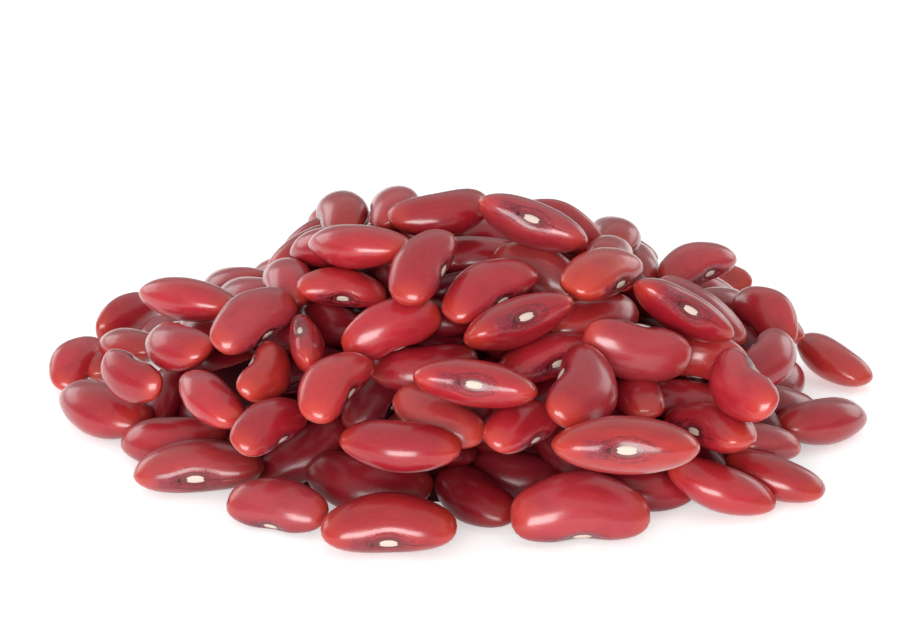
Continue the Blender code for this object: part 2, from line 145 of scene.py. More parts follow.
CREST = [
    Bean(342, 217, -68, 180, 13.6, -10, 0.0),
    Bean(393, 209, 90, -20, 13.0, 0, 0.0),
    Bean(385, 241, -14, None, 12.8, 0, -3.0),
    Bean(441, 213, 11, -50, 13.6, -10, 1.0),
    Bean(533, 224, -21, 82, 14.8, 0, 2.0),
    Bean(558, 228, -20, 180, 12.4, 0, -0.5),
    Bean(500, 240, -12, None, 13.0, 0, -2.5),
    Bean(614, 238, -85, 172, 12.5, 0, 0.0),
    Bean(612, 262, 88, None, 12.3, 0, 0.5),
    Bean(601, 274, 25, 136, 14.0, 0, 2.0),
    Bean(638, 264, -78, None, 12.4, 0, -1.0),
    Bean(357, 246, -5, -75, 14.8, 0, 2.0),
    Bean(333, 245, 8, None, 13.0, 0, 0.0),
    Bean(325, 233, 25, None, 12.2, 0, -1.5),
    Bean(306, 248, 32, None, 12.0, 0, -2.0),
    Bean(306, 259, 22, None, 12.0, 0, -3.0),
    Bean(282, 274, 10, None, 12.5, 0, -3.0),
    Bean(422, 267, 62, 155, 13.4, 0, 2.5),
    Bean(342, 288, -6, 126, 11.4, -40, 0.5),
    Bean(288, 284, -62, 176, 12.8, 0, -0.5),
    Bean(481, 257, -2, None, 13.0, 0, -1.5),
    Bean(541, 277, -28, 178, 14.0, 0, -1.0),
]

LEFT = [
    Bean(232, 286, 2, None, 13.5, 0, -2.0),
    Bean(249, 297, -4, None, 13.5, 0, -1.0),
    Bean(187, 299, -10, -76, 14.4, -36, 1.5),
    Bean(252, 320, 35, 160, 13.2, -28, 2.0),
    Bean(128, 318, 27, 205, 12.2, 0, None),
    Bean(77, 363, 57, 165, 11.6, 16, None),
    Bean(103, 409, -21, None, 15.6, -12, None),
    Bean(131, 377, -26, 8, 11.6, -16, 1.0),
    Bean(130, 346, -10, None, 12.2, 0, -3.0),
    Bean(106, 366, 75, None, 11.5, 0, -4.0),
    Bean(177, 346, -18, None, 12.8, -4, 1.0),
    Bean(202, 333, -20, None, 12.5, 0, -4.0),
    Bean(211, 399, -44, -50, 13.0, 0, 1.0),
    Bean(225, 364, -4, None, 12.6, 0, -5.0),
    Bean(165, 400, 78, -60, 12.5, 0, -2.0),
    Bean(265, 374, 58, 10, 11.0, -22, 0.0),
    Bean(307, 346, -76, 98, 11.4, 14, 0.5),
    Bean(330, 322, -30, None, 12.5, 0, -2.0),
]

MIDDLE = [
    Bean(391, 328, 22, 184, 13.0, 0, 1.0),
    Bean(333, 386, 50, 155, 13.4, -22, 2.5),
    Bean(268, 426, 32, 158, 12.4, -38, 1.5),
    Bean(173, 441, 2, None, 14.8, 0, None),
    Bean(200, 467, 3, 114, 16.4, -8, None),
    Bean(278, 506, -8, 152, 13.2, 0, None),
    Bean(389, 525, 1, 130, 16.2, 0, None),
    Bean(303, 457, 32, None, 13.4, 0, -5.0),
    Bean(368, 483, -9, None, 16.0, 0, None),
    Bean(400, 445, -5, -62, 14.8, 0, 1.5),
    Bean(438, 418, -27, None, 12.6, 0, 0.0),
    Bean(379, 395, 46, 150, 12.4, 0, -3.0),
    Bean(424, 368, 5, None, 13.6, 0, -0.5),
    Bean(476, 384, -8, 92, 15.1, 0, 2.5),
    Bean(487, 290, 30, 140, 14.0, 0, 1.5),
    Bean(517, 322, 20, 86, 15.0, 0, 2.5),
    Bean(594, 320, 13, None, 13.8, 0, 0.0),
    Bean(546, 358, 18, 112, 13.8, 0, 0.0),
    Bean(582, 390, 62, 12, 15.6, -14, 2.0),
    Bean(520, 426, 25, 150, 12.6, -25, 0.5),
    Bean(475, 497, -34, None, 13.6, 10, None),
    Bean(519, 474, -12, None, 13.2, 0, None),
    Bean(580, 510, 1, 160, 17.0, 0, None),
    Bean(625, 445, -1, 97, 17.5, 15, 3.0),
]

RIGHT_SIDE = [
    Bean(646, 490, -4, None, 12.2, 0, None),
    Bean(721, 487, -20, None, 14.0, -25, None),
    Bean(774, 477, -20, None, 13.0, -20, None),
    Bean(636, 351, -12, 8, 14.2, 0, 1.5),
    Bean(700, 356, -10, 178, 12.4, 30, 0.8),
    Bean(682, 311, -29, 80, 14.4, -12, 2.0),
    Bean(701, 312, -36, None, 13.6, 0, 0.5),
    Bean(695, 265, 22, 132, 12.8, 32, 1.5),
    Bean(706, 292, -18, None, 12.5, 0, -3.0),
    Bean(727, 306, -8, None, 12.3, 0, -2.0),
    Bean(767, 317, -50, 184, 12.8, 0, 0.5),
    Bean(774, 322, -50, None, 12.0, 0, -1.5),
    Bean(742, 335, -60, None, 12.0, 0, -3.5),
    Bean(766, 360, 40, None, 12.8, 14, 1.0),
    Bean(742, 388, -50, 12, 13.8, 30, 2.5),
    Bean(832, 360, -37, None, 12.8, -18, None),
    Bean(822, 421, 8, None, 14.2, 0, None),
    Bean(714, 452, -10, None, 11.5, 0, -3.5),
    Bean(757, 441, -12, None, 11.6, 0, -1.0),
    Bean(714, 427, -20, 115, 15.0, 60, 1.5),
    Bean(684, 400, -4, None, 12.4, 0, 0.5),
    Bean(641, 393, -88, 0, 11.8, 25, 0.5),
    Bean(781, 379, 40, None, 12.0, 0, -2.5),
    Bean(780, 407, -15, None, 12.6, 0, -3.0),
]

SEEN = CREST + LEFT + MIDDLE + RIGHT_SIDE


# The view

RIGHT = np.array([1.0, 0.0, 0.0])
UP = np.array([0.0, math.sin(EYE_ELEVATION), math.cos(EYE_ELEVATION)])
BACK = np.array([0.0, -math.cos(EYE_ELEVATION), math.sin(EYE_ELEVATION)])
AIM_RIGHT = (VIEW_CENTRE[0] - ORIGIN_IN_VIEW[0]) / PIXELS_PER_MM
AIM_UP = (ORIGIN_IN_VIEW[1] - VIEW_CENTRE[1]) / PIXELS_PER_MM
EYE = AIM_RIGHT * RIGHT + AIM_UP * UP + EYE_DISTANCE * BACK


def unit(vector):
    return vector / np.linalg.norm(vector)


def sight_line(u, v):
    """Direction from the viewer through one pixel of the view."""
    scale = PIXELS_PER_MM * EYE_DISTANCE
    return unit((u - VIEW_CENTRE[0]) / scale * RIGHT - (v - VIEW_CENTRE[1]) / scale * UP - BACK)


def in_view(points):
    """Pixels of the view that points fall on."""
    from_eye = points - EYE
    scale = -PIXELS_PER_MM * EYE_DISTANCE / (from_eye @ BACK)
    u = VIEW_CENTRE[0] + scale * (from_eye @ RIGHT)
    v = VIEW_CENTRE[1] - scale * (from_eye @ UP)
    return u, v


def above_skyline(points):
    """How far points stand above the near side's skyline, in millimetres; negative below it."""
    u, v = in_view(points)
    beside = np.array([bean.u for bean in SEEN]) - u[:, None]
    heights = np.array([bean.v for bean in SEEN])
    bottom = 2.0 * VIEW_CENTRE[1]
    to_left = (beside > -SKYLINE_REACH) & (beside < SKYLINE_MARGIN)
    to_right = (beside < SKYLINE_REACH) & (beside > -SKYLINE_MARGIN)
    top_left = np.where(to_left, heights, bottom).min(1)
    top_right = np.where(to_right, heights, bottom).min(1)
    return (np.maximum(top_left, top_right) + SKYLINE_MARGIN - v) / PIXELS_PER_MM


def covers_seen(middle, near_middles):
    """Whether a far bean would lie before a near one in the view."""
    u, v = in_view(middle[None])
    near_u, near_v = in_view(near_middles)
    beside = np.hypot(near_u - u, near_v - v) < COVER_REACH
    nearer = (near_middles @ BACK) < middle @ BACK
    return bool((beside & nearer).any())


# The mound

def spread(x, y):
    """0 in the middle of the footprint, 1 at its edge."""
    return np.hypot(x / HEAP_RADIUS[0], y / HEAP_RADIUS[1])


def mound(x, y):
    """Height of the mound's skin."""
    return EDGE_TOP + (HEAP_TOP - EDGE_TOP) * (1.0 - spread(x, y) ** PROFILE_POWER)


def slope_normal(x, y):
    """Outward direction of the mound's skin."""
    half = 0.5
    slope_x = mound(x + half, y) - mound(x - half, y)
    slope_y = mound(x, y + half) - mound(x, y - half)
    return unit(np.array([-slope_x, -slope_y, 1.0]))


def mound_normal(x, y):
    """The same, but turned upright towards the mound's foot, where beans lie on the floor."""
    flat = min(1.0, max(0.0, (spread(x, y) - RIM_START) / (1.0 - RIM_START)))
    return unit(slope_normal(x, y) * (1.0 - flat) + np.array([0.0, 0.0, 1.0]) * flat)


def meets_mound(bean, sink):
    """Where a sight line first comes within sink of the mound's skin, or passes nearest to it."""
    reach = np.arange(EYE_DISTANCE - SIGHT_SPAN, EYE_DISTANCE + SIGHT_SPAN, SIGHT_STEP)
    points = EYE + reach[:, None] * sight_line(bean.u, bean.v)
    height = points[:, 2] - mound(points[:, 0], points[:, 1]) + sink
    first = np.argmax(height < 0.0) if (height < 0.0).any() else np.argmin(height)
    return points[first]


# Placing the beans: each has a middle, a length and a frame of long axis, eye side and flat side

def seen_frame(bean, middle):
    """Frame of a near bean: it lies along the mound, with the turn and roll that the view shows."""
    outward = mound_normal(middle[0], middle[1])
    turn = math.radians(bean.turn)
    across = math.cos(turn) * RIGHT + math.sin(turn) * UP
    tip = math.atan2(-(outward @ across), max(outward @ BACK, LEAST_OUTWARD))
    tip += math.radians(bean.tip)
    tip = max(-MOST_TIP, min(MOST_TIP, tip))
    along = math.cos(tip) * across + math.sin(tip) * BACK
    if bean.roll is None:
        eye_side = unit(np.cross(outward, along))
        if eye_side @ BACK > 0.0:
            eye_side = -eye_side
    else:
        roll = math.radians(bean.roll)
        upper = -math.sin(turn) * RIGHT + math.cos(turn) * UP
        eye_side = math.cos(roll) * upper + math.sin(roll) * np.cross(along, upper)
    return np.array([along, eye_side, np.cross(along, eye_side)])


def far_frame(middle, heading, roll):
    """Frame of a far bean: it lies along the mound with the given heading and roll."""
    outward = mound_normal(middle[0], middle[1])
    level = unit(np.cross(outward, FAR_AXIS))
    along = math.cos(heading) * level + math.sin(heading) * np.cross(outward, level)
    eye_side = math.cos(roll) * np.cross(outward, along) + math.sin(roll) * outward
    return np.array([along, eye_side, np.cross(along, eye_side)])


def meets_floor(bean, frame):
    """Where a bean of this frame lies on the floor and is seen in its place."""
    line = sight_line(bean.u, bean.v)
    balls, radii = stand_in_balls()
    drop = (radii - balls @ frame[:, 2]).max() * bean.length
    return EYE + (drop - EYE[2]) / line[2] * line


def place_seen():
    middles, frames = [], []
    for bean in SEEN:
        sink = 0.5 * BEAN_THICKNESS * bean.length - (bean.rise or 0.0)
        middle = meets_mound(bean, sink)
        frame = seen_frame(bean, middle)
        if bean.rise is None:
            middle = meets_floor(bean, frame)
        middles.append(middle)
        frames.append(frame)
    return np.array(middles), np.array(frames), np.array([bean.length for bean in SEEN])


def place_far(near_middles):
    """Beans along a spiral over the whole mound, where no near bean lies."""
    chance = np.random.default_rng(SEED)
    middles, frames, lengths = [], [], []
    for k in range(SPIRAL_POINTS):
        length = chance.uniform(*FAR_LENGTHS)
        heading = chance.uniform(0.0, math.pi)
        roll = math.radians(chance.normal(0.0, FAR_ROLL))
        radius = SPIRAL_REACH * math.sqrt((k + 0.5) / SPIRAL_POINTS)
        x = HEAP_RADIUS[0] * radius * math.cos(k * GOLDEN_ANGLE)
        y = HEAP_RADIUS[1] * radius * math.sin(k * GOLDEN_ANGLE)
        lift = chance.uniform(*FAR_LIFTS)
        middle = np.array([x, y, mound(x, y) - 0.5 * BEAN_THICKNESS * length + lift])
        if slope_normal(x, y) @ BACK > FAR_FACING or covers_seen(middle, near_middles):
            continue
        if above_skyline(middle[None])[0] > MOST_LOWERED:
            continue
        if np.linalg.norm(near_middles - middle, axis=1).min() < CLEAR_OF_SEEN:
            continue
        middles.append(middle)
        frames.append(far_frame(middle, heading, roll))
        lengths.append(length)
    return np.array(middles), np.array(frames), np.array(lengths)


# Easing apart: each bean is stood for by balls, two at each station along it

def bow_line(station):
    """How far a bean's middle line leans to its eye side, as a share of the bow."""
    return station ** 2 * (2.0 - station ** 2) - BOW_LEVEL


def waist(station):
    """How far a bean is drawn in on its eye side, as a share of its length."""
    return WAIST_DEPTH * np.exp(-(station / WAIST_SPAN) ** 2)


def stand_in_balls():
    """Middles and radii of the balls that fill a bean of length 1."""
    middles, radii = [], []
    for station in BALL_STATIONS:
        taper = math.sqrt(1.0 - station * station)
        half_width = 0.5 * BEAN_WIDTH * taper ** WIDTH_POWER
        radius = 0.5 * BEAN_THICKNESS * taper ** THICKNESS_POWER
        bow = BEAN_BOW * bow_line(station)
        for side in (-1.0, 1.0):
            middles.append((0.5 * station, bow + side * (half_width - radius), 0.0))
            radii.append(radius)
    return np.array(middles), np.array(radii)


def close_pairs(middles, lengths):
    apart = np.linalg.norm(middles[:, None] - middles[None], axis=-1)
    near = apart < PAIR_REACH * (lengths[:, None] + lengths[None])
    return np.nonzero(np.triu(near, 1))


def keep_order(way, first, second, order):
    """Turns pushes so that of two beans the one that stands further out goes to the viewer."""
    lead = order[first] - order[second]
    ahead = np.where(np.abs(lead) < ORDER_STEP, 0.0, np.sign(lead))
    short = np.clip(LEAST_FACING - ahead * (way @ BACK), 0.0, None) * ahead
    return way + short[:, None] * BACK


def push_apart(middles, balls, radii, first, second, ease, order):
    """How far each bean moves to leave the ones that it overlaps."""
    gap = (middles[first][:, None] + balls[first])[:, :, None]
    gap = gap - (middles[second][:, None] + balls[second])[:, None]
    distance = np.linalg.norm(gap, axis=-1)
    overlap = radii[first][:, :, None] + radii[second][:, None] - distance
    deepest = overlap.max((1, 2))
    weight = np.clip(overlap, 0.0, None)[..., None]
    way = (gap / np.maximum(distance, TINY)[..., None] * weight).sum((1, 2))
    way /= np.maximum(np.linalg.norm(way, axis=1), TINY)[:, None]
    way = keep_order(way, first, second, order)
    way /= np.maximum(np.linalg.norm(way, axis=1), TINY)[:, None]
    push = way * np.clip(deepest, 0.0, None)[:, None]
    share = (ease[first] / (ease[first] + ease[second]))[:, None]
    move = np.zeros_like(middles)
    touching = np.zeros(len(middles))
    np.add.at(move, first, push * share)
    np.add.at(move, second, -push * (1.0 - share))
    np.add.at(touching, first, deepest > 0.0)
    np.add.at(touching, second, deepest > 0.0)
    return move / np.sqrt(np.maximum(1.0, touching))[:, None]


def ease_apart(middles, frames, lengths):
    """Moves the beans until they only touch, or nearly so.

    A near bean stays on its own sight line. One on the floor also keeps its place along it,
    one in the skin is drawn back to it, and a deep one creeps further in.
    """
    count = len(SEEN)
    home = middles[:count].copy()
    lines = np.array([sight_line(bean.u, bean.v) for bean in SEEN])
    on_floor = np.array([bean.rise is None for bean in SEEN])
    deep = np.array([(bean.rise or 0.0) < 0.0 for bean in SEEN])
    hold = np.where(on_floor, FLOOR_HOLD, np.where(deep, 0.0, SKIN_HOLD))[:, None]
    ease = np.ones(len(middles))
    ease[:count] = np.where(deep, DEEP_EASE, SKIN_EASE)
    order = np.full(len(middles), FAR_ORDER)
    order[:count] = [FLOOR_ORDER if bean.rise is None else bean.rise for bean in SEEN]
    unit_balls, unit_radii = stand_in_balls()
    balls = np.einsum("bi,nij->nbj", unit_balls, frames) * lengths[:, None, None]
    radii = unit_radii[None] * lengths[:, None]
    middles = middles.copy()
    for turn in range(ROUNDS):
        if turn % PAIR_ROUNDS == 0:
            first, second = close_pairs(middles, lengths)
        middles += STEP_SHARE * push_apart(middles, balls, radii, first, second, ease, order)
        strayed = middles[:count] - home
        on_line = home + (strayed * lines).sum(1)[:, None] * lines
        middles[:count] += SIGHT_PULL * (on_line - middles[:count])
        middles[:count] += hold * (home - middles[:count])
        if turn < ROUNDS - LAST_ROUNDS:
            middles[:count] += DEEP_CREEP * lines * deep[:, None]
            middles[:, 2] -= CREEP
        depth = mound(middles[count:, 0], middles[count:, 1]) - middles[count:, 2]
        middles[count:, 2] += FAR_HOLD * np.clip(depth - DEEPEST_MIDDLE, 0.0, None)
        middles[count:, 2] -= FAR_HOLD * np.clip(above_skyline(middles[count:]), 0.0, None)
        lowest = (middles[:, None, 2] + balls[:, :, 2] - radii).min(1)
        middles[:, 2] += np.clip(FLOOR_GAP - lowest, 0.0, None)
    return middles


def lay_beans():
    """Every bean of the heap's outside at rest: middles, frames and lengths."""
    near = place_seen()
    far = place_far(near[0])
    middles, frames, lengths = (np.concatenate(pair) for pair in zip(near, far))
    middles = ease_apart(middles, frames, lengths)
    kept = above_skyline(middles) < MOST_SHOWING
    kept[:len(SEEN)] = True
    return middles[kept], frames[kept], lengths[kept]


# The beans inside, seen only through the gaps of the skin

# Each layer's depth under the mound's skin, how far out it reaches and how many beans it starts with
INSIDE_LAYERS = ((6.5, 0.92, 120), (11.0, 0.85, 80), (16.0, 0.6, 30))
INSIDE_LENGTHS = (12.0, 14.5)
INSIDE_SEED = 31
INSIDE_ROUNDS = 60
INSIDE_SINK = 0.02
INSIDE_ROLL = 0.5
SKIN_GIVES_WAY = 1e-6
LEAST_DEPTH = 6.5
DEPTH_SLACK = 1.0
MOST_SPREAD = 0.92
MOST_OVERLAP = 1.2


def place_inside():
    """Beans of the layers under the skin, along a spiral at each layer's depth."""
    chance = np.random.default_rng(INSIDE_SEED)
    middles, frames, lengths = [], [], []
    for depth, reach, count in INSIDE_LAYERS:
        for k in range(count):
            radius = reach * math.sqrt((k + 0.5) / count)
            x = HEAP_RADIUS[0] * radius * math.cos(k * GOLDEN_ANGLE)
            y = HEAP_RADIUS[1] * radius * math.sin(k * GOLDEN_ANGLE)
            length = chance.uniform(*INSIDE_LENGTHS)
            height = mound(x, y) - 0.5 * BEAN_THICKNESS * length - depth
            heading, roll = chance.uniform(0.0, math.pi), chance.normal(0.0, INSIDE_ROLL)
            middles.append((x, y, max(height, 0.5 * BEAN_THICKNESS * length)))
            frames.append(far_frame((x, y), heading, roll))
            lengths.append(length)
    return np.array(middles), np.array(frames), np.array(lengths)


def distances_to(lines, middles, frames, lengths):
    """How far along each sight line each bean is met, as an ellipsoid; infinite where it is missed."""
    half_sizes = 0.5 * np.array([1.0, BEAN_WIDTH, BEAN_THICKNESS]) * lengths[:, None]
    start = np.einsum("nij,nj->ni", frames, EYE - middles) / half_sizes
    way = np.einsum("nij,lj->lni", frames, lines) / half_sizes
    square = (way ** 2).sum(-1)
    middle = (way * start).sum(-1)
    root = middle ** 2 - square * ((start ** 2).sum(-1) - 1.0)
    met = (-middle - np.sqrt(np.clip(root, 0.0, None))) / square
    return np.where(root > 0.0, met, np.inf)


def hides_seen(skin, points):
    """Whether any of an inner bean's points would be seen before a near bean."""
    from_eye = points.reshape(-1, 3) - EYE
    reach = np.linalg.norm(from_eye, axis=1)
    met = distances_to(from_eye / reach[:, None], *skin)
    near_met = met[:, :len(SEEN)]
    near_met = np.where(np.isfinite(near_met), near_met, 0.0)
    hides = (met.min(1) > reach) & (near_met.max(1) > reach)
    return hides.reshape(points.shape[:2]).any(1)


def settle_inside(skin, inside):
    """Moves inner beans off the skin's beans and each other, and leaves out what has no room."""
    middles, frames, lengths = (np.concatenate(pair) for pair in zip(skin, inside))
    count = len(skin[0])
    ease = np.ones(len(middles))
    ease[:count] = SKIN_GIVES_WAY
    order = np.zeros(len(middles))
    unit_balls, unit_radii = stand_in_balls()
    balls = np.einsum("bi,nij->nbj", unit_balls, frames) * lengths[:, None, None]
    radii = unit_radii[None] * lengths[:, None]
    for turn in range(INSIDE_ROUNDS):
        if turn % PAIR_ROUNDS == 0:
            first, second = close_pairs(middles, lengths)
        move = push_apart(middles, balls, radii, first, second, ease, order)
        middles[count:] += STEP_SHARE * move[count:]
        middles[count:, 2] -= INSIDE_SINK
        highest = mound(middles[count:, 0], middles[count:, 1]) - LEAST_DEPTH
        middles[count:, 2] = np.minimum(middles[count:, 2], highest)
        lowest = (middles[:, None, 2] + balls[:, :, 2] - radii).min(1)
        middles[count:, 2] += np.clip(FLOOR_GAP - lowest[count:], 0.0, None)
    placed_balls = middles[:, None] + balls
    gap = placed_balls[count:][:, :, None, None] - placed_balls[:count]
    room = np.linalg.norm(gap, axis=-1) - radii[count:][:, :, None, None] - radii[:count]
    middles, frames, lengths = middles[count:], frames[count:], lengths[count:]
    kept = room.min((1, 2, 3)) > -MOST_OVERLAP
    kept &= mound(middles[:, 0], middles[:, 1]) - middles[:, 2] > LEAST_DEPTH - DEPTH_SLACK
    kept &= spread(middles[:, 0], middles[:, 1]) < MOST_SPREAD
    kept &= ~hides_seen(skin, placed_balls[count:])
    return middles[kept], frames[kept], lengths[kept]


# The bean's form, finer than in the solid. Lengths are shares of the bean's own length.

SKIN_RINGS = 20
SKIN_SIDES = 26
INSIDE_RINGS = 8
INSIDE_SIDES = 12
MIDDLE_CROWD = 0.12
EYE_CROWD = 0.2
LOOK_SEED = 12
WIDTH_SPREAD = 0.03
THICKNESS_SPREAD = 0.035
BOW_SPREAD = (0.03, 0.085)
BLUNT_SPREAD = 0.05

# Lumps of the skin: how much they swell it, and their waves along the bean and round it
LUMP = 0.012
LUMP_WAVES = (4.0, 2.0)
SMALL_LUMP = 0.6
SMALL_LUMP_WAVES = 7.0

# The dent that the eye lies in, and the raised rim round it, in reaches from the dent's middle
DENT_LENGTH = 0.13
DENT_WIDTH = 0.075
DENT_DEPTH = 0.018
DENT_RIM = 0.006
DENT_RIM_PLACE = 1.5
DENT_RIM_SPREAD = 0.45

# The eye: a low dome with a groove along its middle, sunk at its outermost ring
EYE_LENGTH = 0.079
EYE_WIDTH = 0.033
EYE_DOME = 0.014
EYE_GROOVE = 0.006
GROOVE_WIDTH = 0.008
EYE_SINK = 0.006
EYE_RINGS = (0.35, 0.7, 0.92, 1.06)
EYE_SIDES = 14

# Painted shade: how much darker a bean is painted for lying deep, and a point of it for its own depth
# in millimetres
DARK_SINK = 5.0
MOST_SHADE = 0.12
SHADE_DEPTHS = (6.5, 11.0)
MOST_DEPTH_SHADE = 0.85

Look = namedtuple("Look", "width thickness bow blunt phase turn sway")


def bean_looks(count):
    """How each bean differs from the next: fuller or flatter, straighter, blunter at one end."""
    chance = np.random.default_rng(LOOK_SEED)
    column = (count, 1)
    width = BEAN_WIDTH * (1.0 + chance.uniform(-WIDTH_SPREAD, WIDTH_SPREAD, column))
    thickness = BEAN_THICKNESS * (1.0 + chance.uniform(-THICKNESS_SPREAD, THICKNESS_SPREAD, column))
    bow = chance.uniform(*BOW_SPREAD, column)
    blunt = chance.uniform(-BLUNT_SPREAD, BLUNT_SPREAD, column)
    phase, turn, sway = chance.uniform(0.0, 2.0 * math.pi, (3, *column))
    return Look(width, thickness, bow, blunt, phase, turn, sway)


def some_looks(looks, start, stop):
    return Look(*(part[start:stop] for part in looks))


def skin_points(looks, station, around):
    """Points of beans of length 1: x along, y towards the eye, z to the flat side."""
    taper = np.sqrt(np.clip(1.0 - station ** 2, 0.0, 1.0))
    lengthwise, roundabout = LUMP_WAVES
    lump = np.sin(lengthwise * station + looks.phase) * np.cos(roundabout * around + looks.turn)
    small = np.sin(SMALL_LUMP_WAVES * station + looks.sway)
    lump = lump + SMALL_LUMP * small * np.cos(around + looks.phase)
    swell = (1.0 + looks.blunt * station) * (1.0 + LUMP * lump)
    half_width = 0.5 * looks.width * taper ** WIDTH_POWER * swell
    half_thickness = 0.5 * looks.thickness * taper ** THICKNESS_POWER * swell
    x = np.broadcast_to(0.5 * station, half_width.shape)
    y = looks.bow * bow_line(station) - waist(station) * np.clip(np.cos(around), 0.0, 1.0)
    y = y + half_width * np.cos(around)
    z = half_thickness * np.sin(around)
    reach = np.hypot(x / DENT_LENGTH, z / DENT_WIDTH)
    rim = DENT_RIM * np.exp(-((reach - DENT_RIM_PLACE) / DENT_RIM_SPREAD) ** 2)
    dent = DENT_DEPTH * np.exp(-reach ** 2) - rim
    y = y - np.where(np.cos(around) > 0.0, dent, 0.0)
    return np.stack((x, y, z), axis=-1)


def bean_grid(rings, sides):
    """Stations along a bean and angles round it, closer together at its middle and its eye."""
    share = np.linspace(0.0, 1.0, rings + 2)[1:-1]
    polar = math.pi * share + MIDDLE_CROWD * np.sin(2.0 * math.pi * share)
    turn = np.arange(sides) / sides
    angle = 2.0 * math.pi * turn - EYE_CROWD * np.sin(2.0 * math.pi * turn)
    station = np.concatenate(([1.0], np.repeat(np.cos(polar), sides), [-1.0]))
    around = np.concatenate(([0.0], np.tile(angle, rings), [0.0]))
    return station, around


def bean_faces(rings, sides):
    """Faces of one bean's grid, with a fan at each tip."""
    last = rings * sides + 1
    faces = []
    for j in range(sides):
        beside = (j + 1) % sides
        faces.append((0, 1 + j, 1 + beside))
        for i in range(rings - 1):
            here = 1 + i * sides
            below = here + sides
            faces.append((here + j, below + j, below + beside, here + beside))
        faces.append((last, last - sides + beside, last - sides + j))
    return faces


def eye_grid():
    """Stations and angles of one eye's oval, its middle first, and how far out and across they lie."""
    out = np.concatenate(([0.0], np.repeat(EYE_RINGS, EYE_SIDES)))
    angle = np.arange(EYE_SIDES) * 2.0 * math.pi / EYE_SIDES
    turn = np.concatenate(([0.0], np.tile(angle, len(EYE_RINGS))))
    station = 2.0 * EYE_LENGTH * out * np.cos(turn)
    across = EYE_WIDTH * out * np.sin(turn)
    half_thickness = 0.5 * BEAN_THICKNESS * (1.0 - station ** 2) ** (0.5 * THICKNESS_POWER)
    return station, np.arcsin(across / half_thickness), out, across


def eye_faces():
    """Faces of one eye's grid, with a fan in its middle."""
    faces = []
    for j in range(EYE_SIDES):
        beside = (j + 1) % EYE_SIDES
        faces.append((0, 1 + beside, 1 + j))
        for i in range(len(EYE_RINGS) - 1):
            here = 1 + i * EYE_SIDES
            outer = here + EYE_SIDES
            faces.append((here + beside, outer + beside, outer + j, here + j))
    return faces


def join_copies(points, faces):
    """One run of vertices and faces for many copies of the same grid."""
    count, size = points.shape[:2]
    starts = [copy * size for copy in range(count)]
    table = [tuple(corner + start for corner in face) for start in starts for face in faces]
    return points.reshape(-1, 3), table


def to_place(shaped, middles, frames, lengths):
    """Shapes of length 1 at their true size and place, none of them below the floor."""
    turned = np.einsum("npi,nij->npj", shaped * lengths[:, None, None], frames)
    placed = middles[:, None] + turned
    placed[..., 2] = np.maximum(placed[..., 2], FLOOR_GAP)
    return placed


def point_attribute(mesh, name, values):
    attribute = mesh.attributes.new(name, "FLOAT_VECTOR", "POINT")
    attribute.data.foreach_set("vector", np.ascontiguousarray(values, dtype=np.float32).ravel())


def bean_shades(outer, total):
    """How much painted shade each bean gets for lying in the dark of the heap: 0 in its skin, 1 inside
    it.
    """
    shade = np.zeros(total)
    sunk = np.array([-min(bean.rise or 0.0, 0.0) for bean in SEEN])
    shade[:len(SEEN)] = MOST_SHADE * np.minimum(1.0, sunk / DARK_SINK)
    shade[outer:] = 1.0
    return shade


def depth_shade(points):
    """Painted shade at points of the heap, darker by their depth under the mound's skin."""
    depth = mound(points[:, 0], points[:, 1]) - points[:, 2]
    return MOST_DEPTH_SHADE * np.interp(depth, SHADE_DEPTHS, (0.0, 1.0))


def mesh_piece(name, parts):
    """One object from several runs of joined copies.

    bean_place is each point's place on its own bean. bean_mark is its bean's tone and warmth, and
    the painted shade of the heap there.
    """
    points, faces, places, tags = [], [], [], []
    for placed, shaped, own_faces, marks in parts:
        offset = sum(len(run) for run in points)
        run, table = join_copies(placed, own_faces)
        points.append(run)
        faces += [tuple(corner + offset for corner in face) for face in table]
        places.append(shaped.reshape(-1, 3))
        tags.append(np.repeat(marks, placed.shape[1], axis=0))
    points = np.concatenate(points)
    tags = np.concatenate(tags)
    # Painted shade: a point deep under the mound's skin is painted darker
    tags[:, 2] = np.maximum(tags[:, 2], depth_shade(points))
    mesh = bpy.data.meshes.new(name)
    mesh.from_pydata(points * MM, [], faces)
    point_attribute(mesh, "bean_place", np.concatenate(places))
    point_attribute(mesh, "bean_mark", tags)
    mesh.shade_smooth()
    piece = bpy.data.objects.new(name, mesh)
    bpy.context.scene.collection.objects.link(piece)
    return piece


# The core, which closes the heap behind its beans; its near-black colour is painted shade

CORE_DETAIL = 4
CORE_RADII = (37.0, 29.0, 12.0)
CORE_MIDDLE = (0.0, 0.0, 1.0)
CORE_LUMPS = 1.2
CORE_SEED = 5
CORE_SMOOTHING = 0.6
CORE_SMOOTH_ROUNDS = 2
CORE_EDGE = math.radians(40.0)


